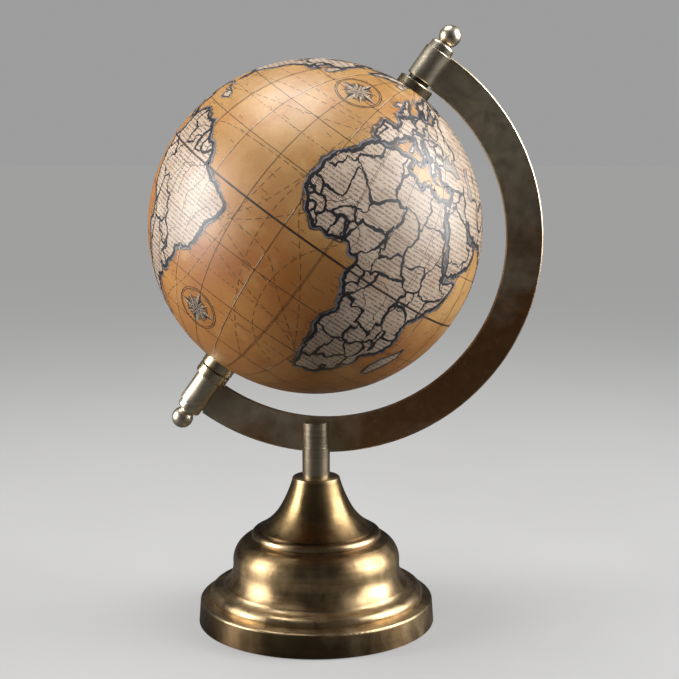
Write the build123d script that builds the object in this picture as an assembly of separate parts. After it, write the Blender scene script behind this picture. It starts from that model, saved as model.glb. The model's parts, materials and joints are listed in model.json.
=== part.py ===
from build123d import *
import os
from math import cos, sin, sqrt, radians

# A desktop globe: a printed 5-inch ball that spins on a tilted steel axle. The axle runs between two brass
# barrels brazed to a half-ring meridian arm, and the arm stands in a slotted stem on a spun brass foot.
# Units are millimetres. The origin is the centre of the felt's underside, +Z is up, the arm lies in the XZ
# plane and its north end leans towards +X.

# ---- driving dimensions -------------------------------------------------------------------------------

ball_radius = 63.5
ball_height = 155.0            # centre of the ball above the table
axis_tilt = 35.2               # degrees from vertical, towards +X

paper_thickness = 0.3
ball_wall = 1.6
band_half_height = 4.0
band_wall = 1.4
gore_count = 12
gore_seam = 0.15               # degrees left open between two gores
map_turn = 7.2                 # degrees the map's prime meridian lies past the arm's plane
bushing_radius = 5.0
bushing_flange_radius = 7.5
bushing_flange = 1.5
bushing_recess = 0.3

arm_outer_radius = 83.0
arm_inner_radius = 69.1
arm_thickness = 2.6
arm_bevel = 0.35
arm_offset_side = 5.5          # the arm's centre, sideways from the ball's centre and square to the axle
arm_offset_along = -1.6        # the same, along the axle

axle_radius = 2.0
axle_short_of_knob = 1.5
running_clearance = 0.05
screw_clearance = 0.05

barrel_radius = 5.4
barrel_length = 12.4
thrust_washer_radius = 6.5
north_washer_radius = 7.0
north_washer_rise = 3.1        # washer tops above the ball's own radius
south_boss_radius = 6.6
south_boss_rise = 3.8
spacer_radius = 4.2
washer_gap = 0.2
washer_chamfer = 0.35
collar_radius = 4.75
collar_height = 3.3
knob_radius = 4.15
neck_radius = 2.9
knob_rise = 6.95               # knob centre above the collar's seat

stem_radius = 5.4
stem_tenon_radius = 5.15       # the slotted top is turned a little thinner
stem_bore = 3.6
stem_top = 79.6
stem_shoulder = 69.6
stem_foot = 50.0

felt_thickness = 1.2
felt_radius = 44.0
foot_rim_height = 0.4
plinth_radius = 46.4
plinth_height = 9.6
shell_wall = 1.1
cone_wall = 1.4
cone_seat = 36.0               # height of the ledge that the cone stands on
cone_top = 57.8
cone_top_radius = 9.35
cone_lip = 1.0
skirt_radius = 22.6
rod_radius = 2.5
rod_clearance = 0.3
plate_radius = 44.2
plate_thickness = 3.0
ballast_radius = 44.0
ballast_hub_radius = 30.0
ballast_top = 16.0
recess_radius = 8.5
recess_depth = 4.0
rod_washer_radius = 7.5
rod_washer_thickness = 0.8
nut_height = 4.0
nut_corner_radius = 4.6

# ---- places worked out from them ----------------------------------------------------------------------

tilt = radians(axis_tilt)
axle_frame = Plane(
    origin=(0, 0, ball_height),
    x_dir=(cos(tilt), 0, -sin(tilt)),
    z_dir=(sin(tilt), 0, cos(tilt)),
)
arm_mid_radius = (arm_outer_radius + arm_inner_radius) / 2
upper_barrel_start = arm_offset_along + arm_mid_radius - barrel_length / 2
lower_barrel_start = -arm_offset_along + arm_mid_radius - barrel_length / 2
shell_radius = ball_radius - paper_thickness
inner_radius = shell_radius - ball_wall
north_washer_top = ball_radius + north_washer_rise
south_boss_top = ball_radius + south_boss_rise
plate_top = felt_thickness + plate_thickness
recess_top = plate_top + recess_depth
rod_bore = rod_radius + rod_clearance
first_seam = 180 / gore_count + map_turn
BASE = (Align.CENTER, Align.CENTER, Align.MIN)


def disc(radius, low, high, bore=0):
    """A round slab about Z between two heights, with an optional hole through it."""
    slab = Pos(0, 0, low) * Cylinder(radius, high - low, align=BASE)
    if bore:
        slab -= Pos(0, 0, low) * Cylinder(bore, high - low, align=BASE)
    return slab


def on_axle(piece):
    """Moves a piece drawn about Z into the tilted frame of the axle."""
    return axle_frame.location * piece


def south(piece):
    """Turns a piece drawn on the north half of the axle round to the south half."""
    return Rot(180, 0, 0) * piece


def spun_profile(outline, low):
    """The closed face between a chain of edges, the axis and the level called low."""
    first = outline[0] @ 0
    last = outline[-1] @ 1
    corners = [(last.X, 0, last.Z), (-2, 0, last.Z), (-2, 0, low), (first.X, 0, low)]
    if low < first.Z:
        corners.append((first.X, 0, first.Z))
    return make_face(Curve() + [*outline, Polyline(*corners)])


def slab_section(radius, low, high, bore=0):
    """The right-hand half of a disc's section, for cutting or keeping part of a profile."""
    return Plane.XZ * Pos(bore, low) * Rectangle(radius - bore, high - low, align=Align.MIN)


def spun_wall(outline, low, wall, bore):
    """The half section of a spun sheet: an outline thickened inwards, open below, with a hole on its axis."""
    section = spun_profile(outline, low)
    section -= offset(spun_profile(outline, low - wall), amount=-wall)
    return section & slab_section(2 * plinth_radius, low, ball_height, bore)


# ---- the foot -----------------------------------------------------------------------------------------


def point(radius, height):
    """A point of an outline, given as radius and height."""
    return (radius, 0, height)


def make_base_shell():
    """The spun foot: plinth, stepped bead, bell and upper bead, in one brass pressing."""
    rim_bottom = point(plinth_radius, foot_rim_height)
    rim_top = point(plinth_radius - 0.6, plinth_height - 1.1)
    ledge_outer = point(plinth_radius - 1.7, plinth_height)
    ledge_inner = point(41.9, plinth_height + 0.5)
    bead_top = point(39.6, 13.9)
    bell_foot = point(36.1, 15.4)
    waist = point(32.8, 23.8)
    shoulder = point(28.4, 32.7)
    collar_foot = point(25.3, 33.7)
    collar_top = point(23.8, 36.5)
    lip_inner = point(22.8, 36.5)
    seat_edge = point(22.8, cone_seat)
    bell_flare = TangentArc(bell_foot, waist, tangent=(-0.78, 0, 0.72))
    outline = [
        Line(rim_bottom, rim_top),
        ThreePointArc(rim_top, point(plinth_radius - 0.95, plinth_height - 0.25), ledge_outer),
        Line(ledge_outer, ledge_inner),
        ThreePointArc(ledge_inner, point(41.5, 12.8), bead_top),
        ThreePointArc(bead_top, point(37.6, 14.0), bell_foot),
        bell_flare,
        TangentArc(waist, shoulder, tangent=bell_flare % 1),
        ThreePointArc(shoulder, point(26.6, 33.0), collar_foot),
        ThreePointArc(collar_foot, point(25.2, 35.5), collar_top),
        Line(collar_top, lip_inner),
        Line(lip_inner, seat_edge),
    ]
    section = spun_wall(outline, foot_rim_height, shell_wall, rod_bore)
    return revolve(section, axis=Axis.Z)


def make_neck_cone():
    """The flared neck between the foot and the stem, with a socket for the stem."""
    skirt_bottom = point(skirt_radius, cone_seat)
    skirt_top = point(skirt_radius, cone_seat + 1.3)
    lip_outer = point(cone_top_radius, cone_top - cone_lip)
    lip_middle = point(cone_top_radius - 0.3 * cone_lip, cone_top - 0.3 * cone_lip)
    lip_inner = point(cone_top_radius - cone_lip, cone_top)
    flare_top = point(13.9, 45.9)
    flare = TangentArc(skirt_top, flare_top, tangent=(-1, 0, 0.55))
    outline = [
        Line(skirt_bottom, skirt_top),
        flare,
        TangentArc(flare_top, lip_outer, tangent=flare % 1),
        ThreePointArc(lip_outer, lip_middle, lip_inner),
    ]
    hub_floor = stem_foot - 2
    section = spun_wall(outline, cone_seat, cone_wall, rod_bore)
    section += spun_profile(outline, cone_seat) & slab_section(skirt_radius, hub_floor, cone_top, rod_bore)
    section -= slab_section(stem_radius + screw_clearance, stem_foot, cone_top)
    return revolve(section, axis=Axis.Z)


def make_stem_tube():
    """The turned stem: a tube with a thinner top that is sawn across to take the arm."""
    stem = disc(stem_radius, stem_foot, stem_shoulder, stem_bore)
    stem += disc(stem_tenon_radius, stem_shoulder, stem_top, stem_bore)
    stem = chamfer(stem.edges().filter_by(GeomType.CIRCLE).group_by(Axis.Z)[-1].sort_by(SortBy.RADIUS)[-1], 0.3)
    slot = Pos(0, 0, arm_lowest()) * Box(
        4 * stem_radius, arm_thickness + 2 * screw_clearance, stem_top, align=BASE
    )
    return stem - slot


def make_stem_plug():
    """The threaded insert in the stem's foot that the tie rod screws into."""
    return disc(stem_bore - screw_clearance, stem_foot + 1, stem_foot + 12, rod_radius + screw_clearance)


def make_ballast_disc():
    """The cast weight inside the foot, recessed below for the nut and washer."""
    weight = disc(ballast_radius, plate_top, plinth_height - shell_wall - 0.2)
    weight += disc(ballast_hub_radius, plate_top, ballast_top)
    weight -= disc(recess_radius, plate_top, recess_top)
    weight -= disc(rod_bore, plate_top, ballast_top)
    return weight


def make_rod_nut():
    """A hexagon nut seated against the washer in the ballast's recess."""
    seat = recess_top - rod_washer_thickness
    hexagon = extrude(Pos(0, 0, seat - nut_height) * RegularPolygon(nut_corner_radius, 6), nut_height)
    return hexagon - disc(rod_radius + screw_clearance, seat - nut_height, seat)


# ---- the arm and its fittings -------------------------------------------------------------------------


def arm_lowest():
    """Height of the lowest point of the arm's outer edge."""
    centre_height = ball_height - arm_offset_side * sin(tilt) + arm_offset_along * cos(tilt)
    return centre_height - arm_outer_radius


def make_meridian_arm():
    """Half of a flat ring with bevelled edges, its ends saddled to the sides of the barrels."""
    overlap = 3.0
    ring = Pos(arm_offset_side, 0, arm_offset_along) * Rot(90, 0, 0) * (
        Cylinder(arm_outer_radius, arm_thickness) - Cylinder(arm_inner_radius, arm_thickness)
    )
    ring = chamfer(ring.edges().filter_by(GeomType.CIRCLE), arm_bevel)
    half = Pos(arm_offset_side - overlap, 0, 0) * Box(
        200, 20, 400, align=(Align.MIN, Align.CENTER, Align.CENTER)
    )
    arm = ring & half
    arm -= disc(barrel_radius, -200, 200)
    arm -= south(disc(thrust_washer_radius + 0.2, 0, lower_barrel_start))
    return on_axle(arm)


def make_barrel(start):
    """A bored brass barrel that holds one end of the axle, with softened ends."""
    barrel = disc(barrel_radius, start, start + barrel_length)
    barrel = chamfer(barrel.edges().filter_by(GeomType.CIRCLE), 0.25)
    return barrel - disc(axle_radius + screw_clearance, start, start + barrel_length)


def make_finial(seat):
    """A screw-on end: a rounded collar, a short neck and a ball knob."""
    collar = disc(collar_radius, seat, seat + collar_height)
    collar = fillet(collar.edges().filter_by(GeomType.CIRCLE).sort_by(Axis.Z)[-1], 1.2)
    finial = collar + disc(neck_radius, seat + collar_height / 2, seat + knob_rise)
    finial += Pos(0, 0, seat + knob_rise) * Sphere(knob_radius)
    return finial - disc(axle_radius + screw_clearance, seat, seat + knob_rise - 1)


def make_axle_rod():
    """The steel axle, threaded into both finials."""
    reach = barrel_length + knob_rise - axle_short_of_knob
    return disc(axle_radius, -lower_barrel_start - reach, upper_barrel_start + reach)


# ---- the ball -----------------------------------------------------------------------------------------


def make_hemisphere():
    """The north half of the hollow plastic ball, with a hole at its pole for a bushing."""
    half = Sphere(shell_radius) - Sphere(shell_radius - ball_wall)
    half &= disc(ball_radius, 0, ball_radius)
    return half - disc(bushing_radius, 0, ball_radius)


def make_joining_band():
    """The inner band that both halves of the ball are glued to."""
    band_radius = sqrt(inner_radius**2 - band_half_height**2)
    return disc(band_radius, -band_half_height, band_half_height, band_radius - band_wall)


def make_bushing():
    """A flanged plastic bushing, pressed into the pole from inside, that runs on the axle."""
    flange_top = sqrt(inner_radius**2 - bushing_flange_radius**2)
    flange_bottom = flange_top - bushing_flange
    bushing = disc(bushing_flange_radius, flange_bottom, flange_top)
    bushing += disc(bushing_radius, flange_bottom, shell_radius - bushing_recess)
    return bushing - disc(axle_radius + running_clearance, 0, ball_radius)


def make_cup_washer(radius, top):
    """A brass washer, hollowed below to sit on the ball at its pole."""
    washer = disc(radius, ball_radius - 0.6, top)
    washer = chamfer(washer.edges().filter_by(GeomType.CIRCLE).sort_by(Axis.Z)[-1], washer_chamfer)
    washer -= Sphere(ball_radius + running_clearance)
    return washer - disc(axle_radius + 0.4, 0, top)


def make_thrust_washer():
    """The thick brass washer between the south boss and the lower barrel."""
    low = south_boss_top + washer_gap
    washer = disc(thrust_washer_radius, low, lower_barrel_start)
    washer = chamfer(washer.edges().filter_by(GeomType.CIRCLE), washer_chamfer)
    return washer - disc(axle_radius + 0.1, low, lower_barrel_start)


def make_spacer():
    """The slim sleeve between the north washer and the upper barrel."""
    return disc(spacer_radius, north_washer_top + washer_gap, upper_barrel_start, axle_radius + 0.1)


def make_map_gores():
    """The printed paper gores that cover the ball, cut clear of the poles."""
    gore_angle = 360 / gore_count - gore_seam
    band = Plane.XZ * (Circle(ball_radius) - Circle(shell_radius))
    band &= Plane.XZ * Pos(bushing_radius + 0.2, 0) * Rectangle(
        2 * ball_radius, 3 * ball_radius, align=(Align.MIN, Align.CENTER)
    )
    gore = revolve(band, axis=Axis.Z, revolution_arc=gore_angle)
    first_edge = first_seam + gore_seam / 2
    return [Rot(0, 0, first_edge + index * 360 / gore_count) * gore for index in range(gore_count)]


# ---- all the pieces -----------------------------------------------------------------------------------


def make_nodes():
    """Every node's name with its solid or solids, in place."""
    return {
        "base_shell": make_base_shell(),
        "neck_cone": make_neck_cone(),
        "stem_tube": make_stem_tube(),
        "stem_plug": make_stem_plug(),
        "tie_rod": disc(rod_radius, felt_thickness + 1, stem_foot + 11),
        "ballast_disc": make_ballast_disc(),
        "rod_washer": disc(rod_washer_radius, recess_top - rod_washer_thickness, recess_top, rod_bore),
        "rod_nut": make_rod_nut(),
        "base_plate": disc(plate_radius, felt_thickness, plate_top, recess_radius + 0.5),
        "felt_pad": disc(felt_radius, 0, felt_thickness),
        "meridian_arm": make_meridian_arm(),
        "upper_barrel": on_axle(make_barrel(upper_barrel_start)),
        "lower_barrel": on_axle(south(make_barrel(lower_barrel_start))),
        "axle_rod": on_axle(make_axle_rod()),
        "upper_finial": on_axle(make_finial(upper_barrel_start + barrel_length)),
        "lower_finial": on_axle(south(make_finial(lower_barrel_start + barrel_length))),
        "upper_spacer": on_axle(make_spacer()),
        "lower_washer": on_axle(south(make_thrust_washer())),
        "north_hemisphere": on_axle(make_hemisphere()),
        "south_hemisphere": on_axle(south(make_hemisphere())),
        "joining_band": on_axle(make_joining_band()),
        "north_bushing": on_axle(make_bushing()),
        "south_bushing": on_axle(south(make_bushing())),
        "north_washer": on_axle(make_cup_washer(north_washer_radius, north_washer_top)),
        "south_boss": on_axle(south(make_cup_washer(south_boss_radius, south_boss_top))),
        "map_gores": [on_axle(gore) for gore in make_map_gores()],
    }


os.makedirs("parts", exist_ok=True)
for node, shape in make_nodes().items():
    solids = [solid for piece in (shape if isinstance(shape, list) else [shape]) for solid in piece.solids()]
    export_step(Compound(children=solids), os.path.join("parts", node + ".step"))
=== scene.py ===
import json
from math import cos, pi, radians, sin

import bpy
import numpy as np
from mathutils import Matrix, Vector
from mathutils.geometry import delaunay_2d_cdt


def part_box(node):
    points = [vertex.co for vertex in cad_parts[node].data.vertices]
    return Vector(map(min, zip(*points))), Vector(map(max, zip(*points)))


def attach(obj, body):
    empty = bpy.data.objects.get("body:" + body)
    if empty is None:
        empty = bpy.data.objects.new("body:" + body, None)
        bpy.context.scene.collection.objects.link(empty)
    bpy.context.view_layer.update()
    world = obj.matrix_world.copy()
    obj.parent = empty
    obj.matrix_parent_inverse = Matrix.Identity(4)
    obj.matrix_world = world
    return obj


# A desktop globe on a spun brass foot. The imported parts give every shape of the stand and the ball. This
# script prints the map on the ball, gives every part its finish, and adds the floor, the light and a camera.
# Lengths are metres. The map is drawn in the axle's frame: north along +Z, with the arm in the XZ plane.

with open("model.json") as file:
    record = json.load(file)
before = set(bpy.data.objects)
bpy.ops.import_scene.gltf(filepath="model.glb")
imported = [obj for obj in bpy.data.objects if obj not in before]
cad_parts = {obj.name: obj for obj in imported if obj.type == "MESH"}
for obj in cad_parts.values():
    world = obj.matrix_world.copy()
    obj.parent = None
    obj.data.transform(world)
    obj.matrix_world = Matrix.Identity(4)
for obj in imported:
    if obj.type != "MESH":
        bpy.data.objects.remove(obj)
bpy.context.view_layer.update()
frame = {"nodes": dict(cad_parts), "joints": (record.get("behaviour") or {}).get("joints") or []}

MM = 0.001
hinge = frame["joints"][0]
ball_centre = Vector(hinge["pos_m"])
north = Vector(hinge["axis"]).normalized()
sideways = Vector((0, 1, 0))
axle_frame = Matrix((sideways.cross(north), sideways, north)).transposed().to_4x4()
axle_frame.translation = ball_centre
ball_low, ball_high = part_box("map_gores")
ball_radius = round((ball_high.y - ball_low.y) / 2, 4)

map_turn = 7.2           # degrees the prime meridian lies past the arm's plane
map_stretch = 1.135      # the printed latitudes are drawn out towards the poles
map_edge = 74.6          # the last printed latitude, under the washers
continent_breadth = 12.0  # degrees; land narrower than this has a thinner coast
roughness_seed = 7

# how far each layer of print stands on the paper
RISE = {
    "coast_wash": 0.006 * MM,
    "coast_glow": 0.012 * MM,
    "sea_marks": 0.010 * MM,
    "land": 0.028 * MM,
    "lakes": 0.034 * MM,
    "fine_lines": 0.040 * MM,
    "borders": 0.042 * MM,
    "seam_edges": 0.044 * MM,
    "compass_roses": 0.046 * MM,
}

# ---- the map, as longitude,latitude pairs with semicolons between the lines ----------------------------

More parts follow.
